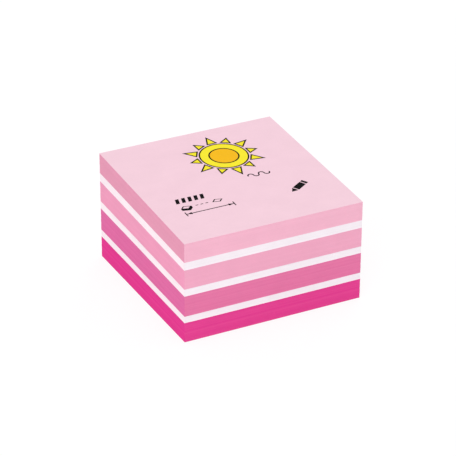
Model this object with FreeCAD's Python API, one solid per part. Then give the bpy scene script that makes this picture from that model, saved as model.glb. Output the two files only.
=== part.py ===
# A cube-shaped pad of 450 sticky notes in four pinks, parted by three runs of white.
#
# Each note is a square sheet with a strip of low-tack adhesive on its back, along one edge.
# The sheets lie with all their strips at the same side, so the pad stands a little taller at its
# glued edge than at its free edge, and every sheet in it is tilted by its share of that rise.
#
# Frame: millimetres, +Z up. The origin is the middle of the underside. +Y points at the glued
# edge and +X is the way a note is written on.
import FreeCAD
import Part
import math
import os
from FreeCAD import Vector

# The pad and its sheets
PAD_WIDTH = 76.0  # along X
PAD_DEPTH = 76.0  # along Y, from the free edge to the glued edge
PAD_HEIGHT = 42.1  # at the free edge, to the nearest sheet
PAPER = 0.0933  # one sheet, and so the pitch of the sheets at the free edge
ADHESIVE_FILM = 0.0089  # what one coat of adhesive adds to that pitch at the glued edge
EDGE_GROOVE = 0.02  # how far the cut edges draw in where two sheets meet
EDGE_CREST = 0.5  # where a cut edge stands out most, as a share of the sheet's thickness
BACKING_PAPER = 0.12  # the release sheet that covers the lowest coat

# The runs of sheets of one colour, from the bottom of the pad, and each one's share of its height
COLOURS = (
    ("magenta_notes", 0.198),
    ("lower_white_notes", 0.067),
    ("rose_notes", 0.207),
    ("middle_white_notes", 0.071),
    ("pink_notes", 0.193),
    ("upper_white_notes", 0.078),
    ("pale_pink_notes", 0.184),
)
STACK = [(name, round(share * (PAD_HEIGHT - BACKING_PAPER) / PAPER)) for name, share in COLOURS]
STACK.append(("printed_top_sheet", 1))
ALL_SHEETS = sum(sheets for _, sheets in STACK)

# The strip of adhesive on the back of a sheet
STRIP_DEPTH = 19.0
STRIP_MARGIN = 0.5  # bare paper between the strip and the cut edges

# The print on the top sheet: places are measured from the middle of the sheet
INK_FILM = 0.01
OUTLINE = 0.6  # the black line round the sun and its rays

SUN_PLACE = (6.0, 16.2)
SUN_CORE_RADIUS = 5.6
SUN_RADIUS = 9.4
RAYS = 12
RAY_ROOT = 10.4  # how far from the middle a ray starts
RAY_TIPS = (16.6, 15.0)  # how far the long and the short rays reach
RAY_WIDTH = 4.8

SQUIGGLE_PLACE = (11.8, -2.3)
SQUIGGLE_BENDS = 4
SQUIGGLE_RADIUS = 1.15
SQUIGGLE_STROKE = 0.55

MARGIN_LEFT = -27.8  # where the three small marks start
HATCH_PLACE_Y = -8.9
HATCH_STROKES = 5
HATCH_STROKE = 1.5
HATCH_PITCH = 2.6
HATCH_HEIGHT = 3.4
HATCH_SLANT = 0.9

PICTOGRAM_PLACE_Y = -14.1
PICTOGRAM_LENGTH = 4.8
PICTOGRAM_HEIGHT = 2.5
PICTOGRAM_LINE = 0.4
PICTOGRAM_BLOCK = 1.3  # how thick the drawn pad is under its top sheet
PICTOGRAM_PITCH = 13.2  # from the drawn pad to the drawn sheet
DASHES = 3
DASH_LENGTH = 1.1

ARROW_PLACE_Y = -18.8
ARROW_LENGTH = 20.7
ARROW_LINE = 0.45
ARROW_HEAD_LENGTH = 2.2
ARROW_HEAD_WIDTH = 1.5
ARROW_STOP_HEIGHT = 3.0

PENCIL_PLACE = (21.2, -17.4)
PENCIL_TURN = 32.0  # degrees, anticlockwise
PENCIL_WIDTH = 2.9
PENCIL_RUBBER = 1.3
PENCIL_BARREL = 5.2
PENCIL_TIP = 2.6
PENCIL_GAP = 0.45


def height(sheets, y):
    """How high the top of that many sheets lies at depth y of the pad."""
    towards_glue = (y + PAD_DEPTH / 2) / PAD_DEPTH
    return BACKING_PAPER + sheets * (PAPER + ADHESIVE_FILM * towards_glue)


def sheet_outline(sheets, inset):
    """The sheet's square outline at that height in the pad, drawn in by inset."""
    x = PAD_WIDTH / 2 - inset
    y = PAD_DEPTH / 2 - inset
    free, glued = height(sheets, -y), height(sheets, y)
    corners = [Vector(-x, -y, free), Vector(x, -y, free), Vector(x, y, glued), Vector(-x, y, glued)]
    return Part.makePolygon(corners + corners[:1])


def cut_sheets(first, count):
    """A run of sheets as one solid, whose four sides have a ridge for every sheet's cut edge."""
    outlines = []
    for sheet in range(first, first + count):
        outlines.append(sheet_outline(sheet, EDGE_GROOVE))
        outlines.append(sheet_outline(sheet + EDGE_CREST, 0))
    outlines.append(sheet_outline(first + count, EDGE_GROOVE))
    return Part.makeLoft(outlines, True, True)


def adhesive_strip(sheets):
    """The coat on the back of the sheet that lies at that height, along the glued edge."""
    margin = EDGE_GROOVE + STRIP_MARGIN
    back = PAD_DEPTH / 2 - margin
    front = back - STRIP_DEPTH
    left = margin - PAD_WIDTH / 2
    low, high = height(sheets, front), height(sheets, back)
    corners = [
        Vector(left, front, low),
        Vector(left, back, high),
        Vector(left, back, high + ADHESIVE_FILM),
        Vector(left, front, low + ADHESIVE_FILM),
    ]
    section = Part.Face(Part.makePolygon(corners + corners[:1]))
    return section.extrude(Vector(PAD_WIDTH - 2 * margin, 0, 0))


def backing_sheet():
    """The flat release sheet under the lowest notes."""
    corner = Vector(-PAD_WIDTH / 2, -PAD_DEPTH / 2, 0)
    return Part.makeBox(PAD_WIDTH, PAD_DEPTH, BACKING_PAPER, corner)


def disc(x, y, radius):
    """A round field of ink."""
    return Part.makeCylinder(radius, INK_FILM, Vector(x, y, 0))


def bar(x, y, length, width):
    """A straight bar of ink with its middle at x, y."""
    return Part.makeBox(length, width, INK_FILM, Vector(x - length / 2, y - width / 2, 0))


def patch(points):
    """A field of ink with straight edges."""
    corners = [Vector(x, y, 0) for x, y in points]
    return Part.Face(Part.makePolygon(corners + corners[:1])).extrude(Vector(0, 0, INK_FILM))


def placed(piece, place, turn):
    """A field of ink, turned anticlockwise about the zero point and moved to its place."""
    x, y = place
    piece.Placement = FreeCAD.Placement(Vector(x, y, 0), FreeCAD.Rotation(Vector(0, 0, 1), turn))
    return piece


def ray(tip, margin):
    """One ray of the sun along X, a triangle that is drawn in by margin on its three sides."""
    half, length = RAY_WIDTH / 2, tip - RAY_ROOT
    inscribed = half * length / (half + math.hypot(half, length))
    middle, share = RAY_ROOT + inscribed, 1 - margin / inscribed
    root = middle + (RAY_ROOT - middle) * share
    return patch([(root, -half * share), (middle + (tip - middle) * share, 0), (root, half * share)])


def sun():
    """The sun: its yellow fields, its orange core and the black lines round them."""
    yellow = [placed(disc(0, 0, SUN_RADIUS).cut(disc(0, 0, SUN_CORE_RADIUS + OUTLINE)), SUN_PLACE, 0)]
    black = [
        placed(disc(0, 0, SUN_CORE_RADIUS + OUTLINE).cut(disc(0, 0, SUN_CORE_RADIUS)), SUN_PLACE, 0),
        placed(disc(0, 0, SUN_RADIUS + OUTLINE).cut(disc(0, 0, SUN_RADIUS)), SUN_PLACE, 0),
    ]
    for number in range(RAYS):
        tip = RAY_TIPS[number % len(RAY_TIPS)]
        turn = 90 + number * 360 / RAYS
        yellow.append(placed(ray(tip, OUTLINE), SUN_PLACE, turn))
        black.append(placed(ray(tip, 0).cut(ray(tip, OUTLINE)), SUN_PLACE, turn))
    orange = [placed(disc(0, 0, SUN_CORE_RADIUS), SUN_PLACE, 0)]
    return yellow, orange, black


def squiggle():
    """A wavy line of half rings that bend up and down in turn, with round ends."""
    x, y = SQUIGGLE_PLACE
    inner, outer = SQUIGGLE_RADIUS - SQUIGGLE_STROKE / 2, SQUIGGLE_RADIUS + SQUIGGLE_STROKE / 2
    start, end = (x + side * SQUIGGLE_BENDS * SQUIGGLE_RADIUS for side in (-1, 1))
    pieces = [disc(start, y, SQUIGGLE_STROKE / 2), disc(end, y, SQUIGGLE_STROKE / 2)]
    for bend in range(SQUIGGLE_BENDS):
        middle = start + (2 * bend + 1) * SQUIGGLE_RADIUS
        side = 1 if bend % 2 == 0 else -1
        half = bar(middle, y + side * outer / 2, 2 * outer, outer)
        pieces.append(disc(middle, y, outer).cut(disc(middle, y, inner)).common(half))
    return pieces[0].fuse(pieces[1:]).removeSplitter()


def hatch():
    """A row of bold slanting strokes."""
    strokes = []
    for number in range(HATCH_STROKES):
        left = MARGIN_LEFT + number * HATCH_PITCH
        low, high = HATCH_PLACE_Y - HATCH_HEIGHT / 2, HATCH_PLACE_Y + HATCH_HEIGHT / 2
        right = left + HATCH_STROKE
        corners = [(left, low), (right, low), (right + HATCH_SLANT, high), (left + HATCH_SLANT, high)]
        strokes.append(patch(corners))
    return strokes


def drawn_sheet(x, y, share):
    """The corners of a sheet drawn lying down, at a share of its full size."""
    wide, high = PICTOGRAM_LENGTH / 2 * share, PICTOGRAM_HEIGHT / 2 * share
    near = [(x - wide, y - high / 3), (x + wide / 3, y - high)]
    far = [(x + wide, y + high / 3), (x - wide / 3, y + high)]
    return near + far


def drawn_outline(x, y):
    """The same sheet drawn as a line."""
    inside = 1 - 2 * PICTOGRAM_LINE / PICTOGRAM_HEIGHT
    return patch(drawn_sheet(x, y, 1)).cut(patch(drawn_sheet(x, y, inside)))


def pictograms():
    """A drawn pad, a few dashes and a drawn single sheet."""
    x, y = MARGIN_LEFT + PICTOGRAM_LENGTH / 2, PICTOGRAM_PLACE_Y
    rim = drawn_sheet(x, y, 1)[:3]
    sides = patch(rim + [(px, py - PICTOGRAM_BLOCK) for px, py in reversed(rim)])
    start, step = x + PICTOGRAM_LENGTH / 2, (PICTOGRAM_PITCH - PICTOGRAM_LENGTH) / (DASHES + 1)
    dashes = [bar(start + step * (number + 1), y, DASH_LENGTH, PICTOGRAM_LINE) for number in range(DASHES)]
    return [sides.fuse(drawn_outline(x, y)).removeSplitter(), drawn_outline(x + PICTOGRAM_PITCH, y)] + dashes


def size_arrow():
    """A line with an arrow head and a stop at each end, as on a drawing."""
    x, y = MARGIN_LEFT + ARROW_LENGTH / 2, ARROW_PLACE_Y
    pieces = [bar(x, y, ARROW_LENGTH, ARROW_LINE)]
    for side in (-1, 1):
        stop = x + side * (ARROW_LENGTH - ARROW_LINE) / 2
        tip = stop - side * ARROW_LINE / 2
        heel = tip - side * ARROW_HEAD_LENGTH
        pieces.append(bar(stop, y, ARROW_LINE, ARROW_STOP_HEIGHT))
        pieces.append(patch([(tip, y), (heel, y + ARROW_HEAD_WIDTH / 2), (heel, y - ARROW_HEAD_WIDTH / 2)]))
    return pieces[0].fuse(pieces[1:]).removeSplitter()


def pencil():
    """A pencil: rubber, barrel and point with gaps between them."""
    half = PENCIL_WIDTH / 2
    length = PENCIL_RUBBER + PENCIL_BARREL + PENCIL_TIP + 2 * PENCIL_GAP
    barrel_end = length / 2 - PENCIL_RUBBER - PENCIL_GAP
    point_root = barrel_end - PENCIL_BARREL - PENCIL_GAP
    pieces = [
        bar((length - PENCIL_RUBBER) / 2, 0, PENCIL_RUBBER, PENCIL_WIDTH),
        bar(barrel_end - PENCIL_BARREL / 2, 0, PENCIL_BARREL, PENCIL_WIDTH),
        patch([(point_root, half), (point_root - PENCIL_TIP, 0), (point_root, -half)]),
    ]
    return [placed(piece, PENCIL_PLACE, PENCIL_TURN) for piece in pieces]


def on_top_sheet(pieces):
    """Lays flat ink on the sloping face of the top sheet and gathers it in one shape."""
    slope = math.degrees(math.atan2(ALL_SHEETS * ADHESIVE_FILM, PAD_DEPTH))
    lay = FreeCAD.Placement(Vector(0, 0, height(ALL_SHEETS, 0)), FreeCAD.Rotation(Vector(1, 0, 0), slope))
    solids = [solid for piece in pieces for solid in piece.Solids]
    return Part.makeCompound([solid.transformed(lay.toMatrix()) for solid in solids])


def build():
    """Every piece of the pad by name."""
    parts = {"backing_sheet": backing_sheet()}
    laid = 0
    for name, sheets in STACK:
        strip = adhesive_strip(laid)
        parts[name] = cut_sheets(laid, sheets).cut(strip)
        parts[name + "_adhesive"] = strip
        laid += sheets
    yellow, orange, black = sun()
    small_marks = [squiggle(), size_arrow()] + hatch() + pictograms() + pencil()
    parts["yellow_print"] = on_top_sheet(yellow)
    parts["orange_print"] = on_top_sheet(orange)
    parts["black_print"] = on_top_sheet(black + small_marks)
    return parts


os.makedirs("parts", exist_ok=True)
for name, shape in build().items():
    shape.exportStep("parts/" + name + ".step")
    print(name, "solids", len(shape.Solids), "valid", shape.isValid(), "volume", round(shape.Volume, 3))
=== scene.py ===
"""The looks of a cube-shaped pad of sticky notes: cut paper, print, adhesive and a small white studio."""

import itertools
import math
import random

import bmesh
import bpy
from mathutils import Matrix, Vector


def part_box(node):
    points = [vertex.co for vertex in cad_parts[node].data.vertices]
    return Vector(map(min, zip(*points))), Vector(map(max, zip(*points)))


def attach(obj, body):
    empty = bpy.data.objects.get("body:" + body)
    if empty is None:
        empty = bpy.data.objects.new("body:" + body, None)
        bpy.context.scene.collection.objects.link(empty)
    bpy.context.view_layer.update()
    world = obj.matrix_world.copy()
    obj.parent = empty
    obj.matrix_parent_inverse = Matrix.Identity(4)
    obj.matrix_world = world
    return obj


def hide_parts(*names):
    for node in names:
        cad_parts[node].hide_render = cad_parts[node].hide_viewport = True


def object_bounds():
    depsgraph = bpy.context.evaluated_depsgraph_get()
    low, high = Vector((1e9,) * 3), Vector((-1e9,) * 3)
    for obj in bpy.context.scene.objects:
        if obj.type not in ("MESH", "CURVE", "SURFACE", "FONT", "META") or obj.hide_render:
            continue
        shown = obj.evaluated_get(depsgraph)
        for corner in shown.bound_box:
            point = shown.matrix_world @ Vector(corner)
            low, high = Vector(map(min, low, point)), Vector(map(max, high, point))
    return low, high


bl_info = {
    "name": "Sticky Note Pad",
    "version": (1, 0, 0),
    "blender": (4, 5, 0),
    "location": "3D View > Sidebar > Note Pad",
    "description": "Builds the paper, the print and the studio of a pad of sticky notes",
    "category": "Object",
}

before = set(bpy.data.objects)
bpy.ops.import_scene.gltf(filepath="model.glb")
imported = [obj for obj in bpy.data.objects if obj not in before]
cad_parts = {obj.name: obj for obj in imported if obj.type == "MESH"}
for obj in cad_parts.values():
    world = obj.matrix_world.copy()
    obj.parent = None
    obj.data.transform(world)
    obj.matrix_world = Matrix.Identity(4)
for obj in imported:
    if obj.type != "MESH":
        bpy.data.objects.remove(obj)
cad_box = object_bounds()

# The bands of notes from the bottom of the pad, each with its paper
BANDS = (
    ("magenta_notes", "magenta_paper"),
    ("lower_white_notes", "white_paper"),
    ("rose_notes", "rose_paper"),
    ("middle_white_notes", "white_paper"),
    ("pink_notes", "pink_paper"),
    ("upper_white_notes", "white_paper"),
    ("pale_pink_notes", "pale_pink_paper"),
)
TOP_SHEET = "printed_top_sheet"
PRINTS = (("yellow_print", "yellow_ink"), ("orange_print", "orange_ink"), ("black_print", "black_ink"))

# A sheet's cut edge rises out of its notch, up the flat and into the next notch, in shares of its thickness
CUT_STEPS = (0.22, 0.56, 0.22)
JOINT_INSET = 0.00002  # the frame's joints between two bands are drawn in this far from the pad's sides
SAME_PLACE = 1e-7  # corners nearer than this to a cutting plane count as lying on it

# Sheets slide and are tinted in runs: the share that a sheet takes over from the one below it, how far the
# run then moves on, and how far the sheet strays from its run, in shares of the largest slip and tint
SLIP_KEPT, SLIP_STEP, SLIP_STRAY = 0.9, 0.3, 0.25
TINT_KEPT, TINT_STEP, TINT_STRAY = 0.8, 0.35, 0.3

# The waves of the bands, each with its radians for a metre of the side, its start in radians, and how many
# radians it moves on from the underside of the pad to its top
WAVE_ALONG_X = (72, 1.1, 2.6)
WAVE_ALONG_Y = (61, -0.4, -2.2)
SECOND_WAVE = 0.7  # the size of the wave along Y, where the one along X is 1
WAVE_RISE = 5  # the waves are full a fifth of the pad's height from its underside and from its top

# Papers and inks
FLAT_FACING = 0.95  # how far up or down the face of a sheet looks at least, where straight up is 1
FIBRE_SCALE = 3200
SPECK_SCALE = 900
CLOUD_SCALE = 110
STREAK_SCALE = 2600  # across the sheets
STREAK_LENGTH = 0.02  # the share of that scale along the sheets
RELIEF = 0.00003
PAPER_GLOSS = 0.2
INK_GLOSS = 0.015
BEAD_SCALE = 9000
BEAD_RELIEF = 0.00002

# The studio
LAMP_HEIGHT = 22  # degrees above the pad
KEY_TURN, FILL_TURN = -45, 135  # degrees round the pad from its free edge
SENSOR_WIDTH = 36
CAMERA_REACH = (0.05, 20)
FLOOR_CLEARANCE = 0.00001  # keeps the floor and the underside of the pad from lying in one plane
FLOOR_GLOW = 1.05


def linear(red, green, blue):
    """The linear colour of an 8-bit one."""
    shares = (value / 255 for value in (red, green, blue))
    return tuple(
        share / 12.92 if share <= 0.04045 else ((share + 0.055) / 1.055) ** 2.4 for share in shares
    )


def colour(name, description, red, green, blue):
    """A colour that can be picked in the sidebar."""
    return bpy.props.FloatVectorProperty(
        name=name, description=description, default=linear(red, green, blue), size=3, min=0, max=1,
        subtype="COLOR",
    )


def length(name, description, metres):
    """A length that can be set in the sidebar."""
    return bpy.props.FloatProperty(
        name=name, description=description, default=metres, min=0, precision=6, unit="LENGTH"
    )


class PadCutting(bpy.types.PropertyGroup):
    """How the sheets are stacked and cut."""

    sheet: length("Sheet", "Pitch of the sheets at the free edge", 0.0000933)
    notch: length("Notch", "Depth of the notch between two sheets", 0.00003)
    slip: length("Slip", "How far runs of sheets have slid on each other", 0.00005)
    wave: length("Wave", "How far the bands rise and fall along the sides", 0.00007)
    rim: length("Rim", "Width of the waving rim round a band's flat faces", 0.0004)
    facets: bpy.props.IntProperty(
        name="Facets", description="Facets along each side of a sheet", default=30, min=4
    )
    seed: bpy.props.IntProperty(name="Seed", description="Start of the random slips and tints", default=76)


class PaperColours(bpy.types.PropertyGroup):
    """The papers, with a colour for the flat and one for each pair of sides. The side colours paint shade
    in: they are darker and deeper than the flat, partly the deeper colour of cut paper and partly painted
    shade, and the left and right edges are mostly darker again than the free and glued edges, which is
    painted shade.
    """

    pale_pink_flat: colour("Pale pink", "Pale pink paper", 246, 209, 222)
    pale_pink_long: colour("Pale pink, long cut", "Its free and glued edges", 241, 187, 207)
    pale_pink_cross: colour("Pale pink, cross cut", "Its left and right edges", 228, 158, 184)
    pink_flat: colour("Pink", "Pink paper", 243, 178, 203)
    pink_long: colour("Pink, long cut", "Its free and glued edges", 238, 174, 199)
    pink_cross: colour("Pink, cross cut", "Its left and right edges", 237, 161, 192)
    rose_flat: colour("Rose", "Rose paper", 233, 128, 173)
    rose_long: colour("Rose, long cut", "Its free and glued edges", 229, 125, 171)
    rose_cross: colour("Rose, cross cut", "Its left and right edges", 224, 112, 168)
    magenta_flat: colour("Magenta", "Magenta paper", 232, 74, 148)
    magenta_long: colour("Magenta, long cut", "Its free and glued edges", 229, 70, 152)
    magenta_cross: colour("Magenta, cross cut", "Its left and right edges", 228, 60, 149)
    white_flat: colour("White", "White paper", 245, 242, 244)
    white_long: colour("White, long cut", "Its free and glued edges", 245, 238, 243)
    white_cross: colour("White, cross cut", "Its left and right edges", 248, 236, 241)


class OtherColours(bpy.types.PropertyGroup):
    """The inks, the adhesive and the backing sheet."""

    yellow_ink: colour("Yellow ink", "Fields of the sun", 251, 236, 52)
    orange_ink: colour("Orange ink", "Core of the sun", 249, 190, 30)
    black_ink: colour("Black ink", "Lines and small marks", 9, 7, 8)
    adhesive: colour("Adhesive", "Low-tack coat on the back of a sheet", 236, 230, 205)
    backing: colour("Backing", "Release sheet under the pad", 246, 245, 241)


class StudioSetup(bpy.types.PropertyGroup):
    """Camera, lamps and floor."""

    azimuth: bpy.props.FloatProperty(
        name="Azimuth", description="Camera's turn round the pad", default=math.radians(-27.164),
        subtype="ANGLE",
    )
    elevation: bpy.props.FloatProperty(
        name="Elevation", description="Camera's angle above the floor", default=math.radians(28.040),
        subtype="ANGLE",
    )
    roll: bpy.props.FloatProperty(
        name="Roll", description="Camera's turn about its view", default=math.radians(0.244),
        subtype="ANGLE",
    )
    aim: bpy.props.FloatVectorProperty(
        name="Aim", description="Point the camera looks at", default=(-0.0003128, 0.0001123, 0.0218195),
        size=3, unit="LENGTH", subtype="XYZ",
    )
    distance: length("Distance", "From the camera to that point", 0.8942)
    lens: bpy.props.FloatProperty(
        name="Lens", description="Focal length for a sensor 36 mm wide", default=180.0, min=1, unit="CAMERA"
    )
    sky: bpy.props.FloatProperty(name="Sky", description="Strength of the even light", default=0.79, min=0)
    key: bpy.props.FloatProperty(
        name="Key", description="Power of the lamp on the camera's side", default=2.8, min=0, unit="POWER"
    )
    fill: bpy.props.FloatProperty(
        name="Fill", description="Power of the lamp behind the pad", default=2.0, min=0, unit="POWER"
    )
    lamp_size: length("Lamp size", "Side of each square lamp", 0.5)
    lamp_distance: length("Lamp distance", "From each lamp to the pad", 0.9)
    floor: colour("Floor", "White floor", 243, 243, 243)
    floor_radius: length("Floor radius", "Radius of the round floor", 3.0)
    clearing: bpy.props.FloatProperty(
        name="Clearing", description="How far the seen floor is cleared to white", default=0.82,
        min=0, max=1, subtype="FACTOR",
    )


def add_node(tree, kind, settings=None, **inputs):
    """A new node with its settings and inputs.

    An input goes by its name, or as i0, i1 and so on by its number. It is a value or another node's output.
    """
    node = tree.nodes.new(kind)
    for name, value in (settings or {}).items():
        setattr(node, name, value)
    for name, value in inputs.items():
        numbered = name[0] == "i" and name[1:].isdigit()
        socket = node.inputs[int(name[1:]) if numbered else name.replace("_", " ")]
        if isinstance(value, bpy.types.NodeSocket):
            tree.links.new(value, socket)
        else:
            socket.default_value = value
    return node


def new_material(name):
    """An empty material, its node tree and its shader."""
    material = bpy.data.materials.new(name)
    material.use_nodes = True
    tree = material.node_tree
    return material, tree, tree.nodes["Principled BSDF"]


def spread(tree, value, low, high):
    """A noise value, nearly always between 0.3 and 0.7, spread from low to high."""
    ranged = add_node(
        tree, "ShaderNodeMapRange", None, Value=value, From_Min=0.3, From_Max=0.7, To_Min=low, To_Max=high
    )
    return ranged.outputs["Result"]


def combined(tree, operation, first, second):
    """Two values put together by a step of arithmetic."""
    return add_node(tree, "ShaderNodeMath", {"operation": operation}, i0=first, i1=second).outputs[0]


def noise(tree, place, stretch, scale, detail):
    """Noise on the object's own coordinates, finer along each axis by its factor."""
    mapped = add_node(tree, "ShaderNodeMapping", None, Vector=place, Scale=stretch)
    pattern = add_node(
        tree, "ShaderNodeTexNoise", None,
        Vector=mapped.outputs[0], Scale=scale, Detail=detail, Roughness=0.6,
    )
    return pattern.outputs[0]


def relief(tree, shader, strength, depth, height):
    """Raises the shader's surface by a height."""
    bump = add_node(tree, "ShaderNodeBump", None, Strength=strength, Distance=depth, Height=height)
    tree.links.new(bump.outputs[0], shader.inputs["Normal"])


def coloured(tree, shader, tone, value, saturation=1.0):
    """Gives the shader a tone, varied by a value and a saturation."""
    varied = add_node(
        tree, "ShaderNodeHueSaturation", None, Saturation=saturation, Value=value, Color=tone
    )
    tree.links.new(varied.outputs[0], shader.inputs["Base Color"])


def fibre_relief(tree, place, shader, strength, smooth, rough):
    """The felted surface of paper: its fine relief and its uneven shine. Returns the fibres."""
    fibres = noise(tree, place, (0.4, 1.0, 1.0), FIBRE_SCALE, 2)
    specks = noise(tree, place, (1.0, 1.0, 1.0), SPECK_SCALE, 3)
    relief(tree, shader, strength, RELIEF, combined(tree, "ADD", fibres, specks))
    tree.links.new(spread(tree, fibres, smooth, rough), shader.inputs["Roughness"])
    return fibres


def paper(name, flat, front_back_edge_tone, shaded_side_tone):
    """Uncoated note paper, with a colour for its face and one for each pair of cut edges, which paint shade
    in: the cut edges are darker than the face, partly as cut paper is and partly painted shade, and the left
    and right edges are mostly darker again, painted shade.
    """
    material, tree, shader = new_material(name)
    place = add_node(tree, "ShaderNodeTexCoord")
    facing = add_node(tree, "ShaderNodeSeparateXYZ", None, Vector=place.outputs["Normal"])
    across, along, upwards = (
        add_node(tree, "ShaderNodeMath", {"operation": "ABSOLUTE"}, i0=facing.outputs[axis]).outputs[0]
        for axis in "XYZ"
    )
    # Faces turned more to the left or right than to the front or back take the colour with painted shade;
    # sides take colours darker than the face, partly painted shade.
    is_shaded_side = combined(tree, "GREATER_THAN", across, along)
    is_flat = combined(tree, "GREATER_THAN", upwards, FLAT_FACING)
    edge = add_node(
        tree, "ShaderNodeMix", {"data_type": "RGBA"}, i0=is_shaded_side, i6=(*front_back_edge_tone, 1), i7=(*shaded_side_tone, 1)
    )
    surface = add_node(
        tree, "ShaderNodeMix", {"data_type": "RGBA"}, i0=is_flat, i6=edge.outputs[2], i7=(*flat, 1)
    )
    fibres = fibre_relief(tree, place.outputs["Object"], shader, 0.25, 0.82, 0.95)
    cloud = noise(tree, place.outputs["Object"], (1.0, 1.0, 1.0), CLOUD_SCALE, 4)
    streak = noise(tree, place.outputs["Object"], (STREAK_LENGTH, STREAK_LENGTH, 1.0), STREAK_SCALE, 3)
    tint = add_node(tree, "ShaderNodeAttribute", {"attribute_name": "sheet_tint"}).outputs["Fac"]
    soft = combined(tree, "ADD", spread(tree, cloud, -0.014, 0.014), spread(tree, fibres, -0.012, 0.012))
    sheet_by_sheet = combined(tree, "MULTIPLY", tint, 0.02)
    lined = combined(tree, "ADD", spread(tree, streak, -0.008, 0.008), sheet_by_sheet)
    value = combined(tree, "ADD", combined(tree, "ADD", soft, lined), 1.0)
    saturation = combined(tree, "SUBTRACT", 1.0, combined(tree, "MULTIPLY", lined, 0.8))
    coloured(tree, shader, surface.outputs[2], value, saturation)
    shader.inputs["Specular IOR Level"].default_value = PAPER_GLOSS
    return material


def ink(name, tone):
    """Printed ink: a thin even film in which the paper's fibres still show."""
    material, tree, shader = new_material(name)
    place = add_node(tree, "ShaderNodeTexCoord").outputs["Object"]
    fibres = fibre_relief(tree, place, shader, 0.15, 0.5, 0.68)
    mottle = noise(tree, place, (1, 1, 1), 240, 3)
    density = combined(tree, "ADD", spread(tree, fibres, 0.97, 1.02), spread(tree, mottle, -0.02, 0.02))
    coloured(tree, shader, (*tone, 1), density)
    shader.inputs["Specular IOR Level"].default_value = INK_GLOSS
    return material


def tacky(name, tone):
    """Low-tack adhesive: a coat of tiny soft beads."""
    material, tree, shader = new_material(name)
    place = add_node(tree, "ShaderNodeTexCoord").outputs["Object"]
    beads = add_node(tree, "ShaderNodeTexVoronoi", None, Vector=place, Scale=BEAD_SCALE)
    from_middle = beads.outputs["Distance"]
    relief(tree, shader, 0.4, BEAD_RELIEF, combined(tree, "SUBTRACT", 1.0, from_middle))
    coloured(tree, shader, (*tone, 1), spread(tree, from_middle, 1.02, 0.94))
    shader.inputs["Roughness"].default_value = 0.38
    return material


def release_paper(name, tone):
    """Coated release paper: smoother and shinier than the notes, with a faint cloud."""
    material, tree, shader = new_material(name)
    place = add_node(tree, "ShaderNodeTexCoord").outputs["Object"]
    fibre_relief(tree, place, shader, 0.1, 0.34, 0.46)
    cloud = noise(tree, place, (1, 1, 1), 140, 4)
    coloured(tree, shader, (*tone, 1), spread(tree, cloud, 0.975, 1.015))
    return material


def paper_for(slot):
    """The material of one of the papers, made when it is first asked for."""
    name = slot.replace("_paper", "_note_paper")
    if name not in bpy.data.materials:
        tones = bpy.context.scene.note_pad_papers
        prefix = slot.removesuffix("_paper")
        # The flat colour, then the free and glued edge colour and the left and right edge colour, both with
        # painted shade.
        paper(name, *(tuple(getattr(tones, f"{prefix}_{view}")) for view in ("flat", "long", "cross")))
    return bpy.data.materials[name]


def dress(node, material):
    """Gives a CAD node a better material."""
    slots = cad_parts[node].data.materials
    slots.clear()
    slots.append(material)


class SheetStack:
    """Where each sheet of the pad lies. Levels count the sheets from the backing sheet up."""

    def __init__(self, cutting):
        self.cutting = cutting
        low, high = cad_box
        self.half = Vector(((high.x - low.x) / 2, (high.y - low.y) / 2))
        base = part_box("backing_sheet")[1].z
        lows = [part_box(node)[0].z for node, _ in BANDS] + [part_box(TOP_SHEET)[0].z]
        highs = [base] + [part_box(node)[1].z for node, _ in BANDS]
        self.joints = list(zip(lows, highs))
        self.levels = [0]
        for below, above in zip(lows, lows[1:]):
            self.levels.append(self.levels[-1] + round((above - below) / cutting.sheet))
        self.slips, self.tints = [], []
        draw = random.Random(cutting.seed)
        run_slip = Vector((0, 0))
        run_tint = 0
        for _ in range(self.levels[-1]):
            run_slip = run_slip * SLIP_KEPT + Vector((draw.uniform(-1, 1), draw.uniform(-1, 1))) * SLIP_STEP
            slip = run_slip + Vector((draw.uniform(-1, 1), draw.uniform(-1, 1))) * SLIP_STRAY
            self.slips.append(Vector((max(-1, min(1, slip.x)), max(-1, min(1, slip.y)))) * cutting.slip)
            run_tint = run_tint * TINT_KEPT + draw.uniform(-1, 1) * TINT_STEP
            self.tints.append(max(-1, min(1, run_tint + draw.uniform(-1, 1) * TINT_STRAY)))

    def flat_height(self, band, share, y):
        """Height of the plane at a share of the way up a band."""
        reach = self.half.y - JOINT_INSET
        glued = (y + reach) / (2 * reach)
        free_z = self.joints[band][0] * (1 - share) + self.joints[band + 1][0] * share
        glued_z = self.joints[band][1] * (1 - share) + self.joints[band + 1][1] * share
        return free_z * (1 - glued) + glued_z * glued

    def wave(self, x, y, level):
        """How far the rim of a sheet rises or falls. The lowest and the highest sheets lie flat."""
        share = level / self.levels[-1]
        strength = min(1, WAVE_RISE * share, WAVE_RISE * (1 - share))
        first, second = (
            math.sin(pitch * place + start + turn * share)
            for place, (pitch, start, turn) in ((x, WAVE_ALONG_X), (y, WAVE_ALONG_Y))
        )
        return self.cutting.wave * strength * (first + SECOND_WAVE * second) / (1 + SECOND_WAVE)

    def rim_point(self, band, x, y, level):
        """Where a point on the cut outline of a sheet ends up."""
        first, last = self.levels[band], self.levels[band + 1]
        inset = self.cutting.slip
        if abs(level - round(level)) < min(CUT_STEPS) / 2:
            level = round(level)
            inset += self.cutting.notch
            slip = (self.slips[max(0, level - 1)] + self.slips[min(level, self.levels[-1] - 1)]) / 2
        else:
            slip = self.slips[int(level)]
        z = self.flat_height(band, (level - first) / (last - first), y) + self.wave(x, y, level)
        return Vector((x * (1 - inset / self.half.x) + slip.x, y * (1 - inset / self.half.y) + slip.y, z))


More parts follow.
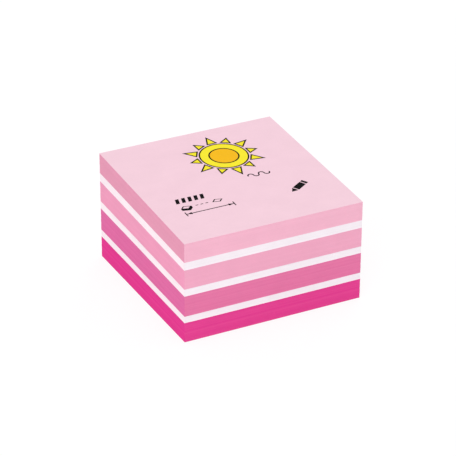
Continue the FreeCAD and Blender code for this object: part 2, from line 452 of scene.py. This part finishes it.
def cut_band(stack, band, node):
    """A band of sheets: a closed block whose sides have a ridge for every sheet's cut edge."""
    first, last = stack.levels[band], stack.levels[band + 1]
    bm = bmesh.new()
    tint = bm.faces.layers.float.new("sheet_tint")
    bmesh.ops.create_grid(bm, x_segments=1, y_segments=1, size=1)
    bmesh.ops.scale(bm, verts=bm.verts, vec=(stack.half.x, stack.half.y, 1))
    bmesh.ops.translate(bm, verts=bm.verts, vec=(0, 0, first))
    bmesh.ops.delete(bm, geom=bm.faces[:], context="FACES_ONLY")
    bmesh.ops.subdivide_edges(bm, edges=bm.edges[:], cuts=stack.cutting.facets - 1)
    lowest = ring = bm.edges[:]
    for sheet, step in itertools.product(range(first, last), CUT_STEPS):
        made = bmesh.ops.extrude_edge_only(bm, edges=ring)["geom"]
        ring = [part for part in made if isinstance(part, bmesh.types.BMEdge)]
        raised = [part for part in made if isinstance(part, bmesh.types.BMVert)]
        bmesh.ops.translate(bm, verts=raised, vec=(0, 0, step))
        for part in made:
            if isinstance(part, bmesh.types.BMFace):
                part[tint] = stack.tints[sheet]
    floor_face = bmesh.ops.edgeloop_fill(bm, edges=lowest)["faces"]
    roof_face = bmesh.ops.edgeloop_fill(bm, edges=ring)["faces"]
    rim_verts = set(bm.verts)
    bmesh.ops.inset_region(bm, faces=floor_face, thickness=stack.cutting.rim, use_even_offset=True)
    bmesh.ops.inset_region(bm, faces=roof_face, thickness=stack.cutting.rim, use_even_offset=True)
    for vert in bm.verts:
        x, y, level = vert.co
        if vert in rim_verts:
            vert.co = stack.rim_point(band, x, y, level)
        else:
            vert.co.z = stack.flat_height(band, (level - first) / (last - first), y)
    cut_recess(bm, floor_face[0], stack, band, node)
    bmesh.ops.recalc_face_normals(bm, faces=bm.faces)
    mesh = bpy.data.meshes.new(node + "_cut")
    bm.to_mesh(mesh)
    bm.free()
    return mesh


def cut_recess(bm, underside, stack, band, node):
    """The shallow place in a band's underside that its coat of adhesive fills."""
    low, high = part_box(node + "_adhesive")
    film = high.z - stack.flat_height(band, 0, high.y)
    patches = [underside]
    for corner, direction in ((low, (1, 0, 0)), (high, (1, 0, 0)), (low, (0, 1, 0)), (high, (0, 1, 0))):
        edges = {edge for face in patches for edge in face.edges}
        verts = {vert for face in patches for vert in face.verts}
        cut = bmesh.ops.bisect_plane(
            bm, geom=[*patches, *edges, *verts], dist=SAME_PLACE, plane_co=corner, plane_no=direction
        )["geom"]
        patches = [part for part in cut if isinstance(part, bmesh.types.BMFace)]
    covered = [
        face for face in patches
        if low.x < face.calc_center_bounds().x < high.x and low.y < face.calc_center_bounds().y < high.y
    ]
    lifted = bmesh.ops.extrude_face_region(bm, geom=covered)["geom"]
    bmesh.ops.delete(bm, geom=covered, context="FACES_ONLY")
    corners = [part for part in lifted if isinstance(part, bmesh.types.BMVert)]
    bmesh.ops.translate(bm, verts=corners, vec=(0, 0, film))


class NOTEPAD_OT_bands(bpy.types.Operator):
    """Stack the seven bands of coloured notes"""

    bl_idname = "note_pad.bands"
    bl_label = "Bands of notes"

    def execute(self, context):
        stack = SheetStack(context.scene.note_pad_cutting)
        for band, (node, slot) in enumerate(BANDS):
            piece = bpy.data.objects.new(node + "_cut", cut_band(stack, band, node))
            piece.data.materials.append(paper_for(slot))
            context.scene.collection.objects.link(piece)
            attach(piece, "root")
            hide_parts(node)
        return {"FINISHED"}


class NOTEPAD_OT_top_sheet(bpy.types.Operator):
    """Finish the top sheet in pale pink paper"""

    bl_idname = "note_pad.top_sheet"
    bl_label = "Top sheet"

    def execute(self, context):
        dress(TOP_SHEET, paper_for("pale_pink_paper"))
        return {"FINISHED"}


class NOTEPAD_OT_print(bpy.types.Operator):
    """Print the sun and the small marks in three inks"""

    bl_idname = "note_pad.print"
    bl_label = "Print"

    def execute(self, context):
        tones = context.scene.note_pad_tones
        for node, slot in PRINTS:
            dress(node, ink(slot, tuple(getattr(tones, slot))))
        return {"FINISHED"}


class NOTEPAD_OT_adhesive(bpy.types.Operator):
    """Coat the lowest sheet of each band with adhesive"""

    bl_idname = "note_pad.adhesive"
    bl_label = "Adhesive"

    def execute(self, context):
        coat = tacky("adhesive", tuple(context.scene.note_pad_tones.adhesive))
        for node in [TOP_SHEET] + [node for node, _ in BANDS]:
            dress(node + "_adhesive", coat)
        return {"FINISHED"}


class NOTEPAD_OT_backing(bpy.types.Operator):
    """Finish the release sheet under the pad"""

    bl_idname = "note_pad.backing"
    bl_label = "Backing sheet"

    def execute(self, context):
        dress("backing_sheet", release_paper("backing_paper", tuple(context.scene.note_pad_tones.backing)))
        return {"FINISHED"}


def seen_white(tree, share):
    """A factor that is a share for rays from the camera or off gloss and glass, and 0 for other light."""
    path = add_node(tree, "ShaderNodeLightPath")
    shiny = combined(tree, "MAXIMUM", path.outputs["Is Glossy Ray"], path.outputs["Is Transmission Ray"])
    seen = combined(tree, "MAXIMUM", path.outputs["Is Camera Ray"], shiny)
    return combined(tree, "MULTIPLY", seen, share)


def lay_floor(studio):
    """A round white floor that keeps the pad's soft shadow and fades into the white behind it."""
    bm = bmesh.new()
    bmesh.ops.create_circle(bm, cap_ends=True, cap_tris=False, segments=96, radius=studio.floor_radius)
    bmesh.ops.translate(bm, verts=bm.verts, vec=(0, 0, -FLOOR_CLEARANCE))
    mesh = bpy.data.meshes.new("floor")
    bm.to_mesh(mesh)
    bm.free()
    floor = bpy.data.objects.new("floor", mesh)
    bpy.context.scene.collection.objects.link(floor)
    material, tree, shader = new_material("floor_white")
    place = add_node(tree, "ShaderNodeTexCoord").outputs["Object"]
    grain = noise(tree, place, (1, 1, 1), 60, 3)
    coloured(tree, shader, (*studio.floor, 1), spread(tree, grain, 0.99, 1.01))
    shader.inputs["Roughness"].default_value = 1.0
    shader.inputs["Specular IOR Level"].default_value = 0.0
    glow = add_node(tree, "ShaderNodeEmission", None, Color=(1, 1, 1, 1), Strength=FLOOR_GLOW)
    mixed = add_node(
        tree, "ShaderNodeMixShader", None,
        i0=seen_white(tree, studio.clearing), i1=shader.outputs[0], i2=glow.outputs[0],
    )
    tree.links.new(mixed.outputs[0], tree.nodes["Material Output"].inputs["Surface"])
    mesh.materials.append(material)


def light_sky(scene, studio):
    """Even light from all round, behind a white background."""
    world = bpy.data.worlds.new("white_room")
    scene.world = world
    world.use_nodes = True
    tree = world.node_tree
    lit = tree.nodes["Background"]
    lit.inputs["Color"].default_value = (1, 1, 1, 1)
    lit.inputs["Strength"].default_value = studio.sky
    shown = add_node(tree, "ShaderNodeBackground", None, Color=(1, 1, 1, 1), Strength=1.0)
    mixed = add_node(
        tree, "ShaderNodeMixShader", None, i0=seen_white(tree, 1.0), i1=lit.outputs[0], i2=shown.outputs[0]
    )
    tree.links.new(mixed.outputs[0], tree.nodes["World Output"].inputs["Surface"])


def away_from_pad(turn, rise):
    """The direction away from the pad, turned and raised by these angles from straight off its free edge."""
    return Vector((math.sin(turn) * math.cos(rise), -math.cos(turn) * math.cos(rise), math.sin(rise)))


def hang_lamp(scene, studio, name, power, turn):
    """A square soft lamp that points at the pad."""
    outwards = away_from_pad(math.radians(turn), math.radians(LAMP_HEIGHT))
    lamp = bpy.data.lights.new(name, "AREA")
    lamp.shape = "SQUARE"
    lamp.size = studio.lamp_size
    lamp.energy = power
    hung = bpy.data.objects.new(name, lamp)
    middle = (cad_box[0] + cad_box[1]) / 2
    hung.location = middle + outwards * studio.lamp_distance
    hung.rotation_euler = outwards.to_track_quat("Z", "Y").to_euler()
    scene.collection.objects.link(hung)


def set_camera(scene, studio):
    """The camera where the photograph was taken from."""
    roll = studio.roll
    back = away_from_pad(studio.azimuth, studio.elevation)
    level = Vector((math.cos(studio.azimuth), math.sin(studio.azimuth), 0))
    upright = back.cross(level)
    right = level * math.cos(roll) + upright * math.sin(roll)
    up = back.cross(right)
    lens = bpy.data.cameras.new("camera")
    lens.lens = studio.lens
    lens.sensor_width = SENSOR_WIDTH
    lens.clip_start, lens.clip_end = CAMERA_REACH
    camera = bpy.data.objects.new("camera", lens)
    eye = Vector(studio.aim) + back * studio.distance
    camera.matrix_world = Matrix.Translation(eye) @ Matrix((right, up, back)).transposed().to_4x4()
    scene.collection.objects.link(camera)
    scene.camera = camera


class NOTEPAD_OT_studio(bpy.types.Operator):
    """Set up the white floor, the lamps and the camera"""

    bl_idname = "note_pad.studio"
    bl_label = "Studio"

    def execute(self, context):
        scene = context.scene
        studio = scene.note_pad_studio
        lay_floor(studio)
        light_sky(scene, studio)
        hang_lamp(scene, studio, "key_lamp", studio.key, KEY_TURN)
        hang_lamp(scene, studio, "fill_lamp", studio.fill, FILL_TURN)
        set_camera(scene, studio)
        scene.view_settings.view_transform = "Standard"
        return {"FINISHED"}


OPERATORS = (
    NOTEPAD_OT_bands,
    NOTEPAD_OT_top_sheet,
    NOTEPAD_OT_print,
    NOTEPAD_OT_adhesive,
    NOTEPAD_OT_backing,
    NOTEPAD_OT_studio,
)
SETTINGS = (
    ("note_pad_cutting", PadCutting),
    ("note_pad_papers", PaperColours),
    ("note_pad_tones", OtherColours),
    ("note_pad_studio", StudioSetup),
)


class NOTEPAD_PT_sidebar(bpy.types.Panel):
    """The steps of the pad and their settings"""

    bl_idname = "NOTEPAD_PT_sidebar"
    bl_label = "Note Pad"
    bl_space_type = "VIEW_3D"
    bl_region_type = "UI"
    bl_category = "Note Pad"

    def draw(self, context):
        for name, group in SETTINGS:
            box = self.layout.box()
            for setting in group.__annotations__:
                box.prop(getattr(context.scene, name), setting)
        for step in OPERATORS:
            self.layout.operator(step.bl_idname)


def register():
    """Adds the settings, the steps and the panel."""
    for name, group in SETTINGS:
        bpy.utils.register_class(group)
        setattr(bpy.types.Scene, name, bpy.props.PointerProperty(type=group))
    for step in (*OPERATORS, NOTEPAD_PT_sidebar):
        bpy.utils.register_class(step)


def unregister():
    """Takes them out again."""
    for step in reversed((*OPERATORS, NOTEPAD_PT_sidebar)):
        bpy.utils.unregister_class(step)
    for name, group in reversed(SETTINGS):
        delattr(bpy.types.Scene, name)
        bpy.utils.unregister_class(group)


def main():
    """Builds the pad in its studio."""
    register()
    for step in OPERATORS:
        family, name = step.bl_idname.split(".")
        getattr(getattr(bpy.ops, family), name)()


if __name__ == "__main__":
    main()
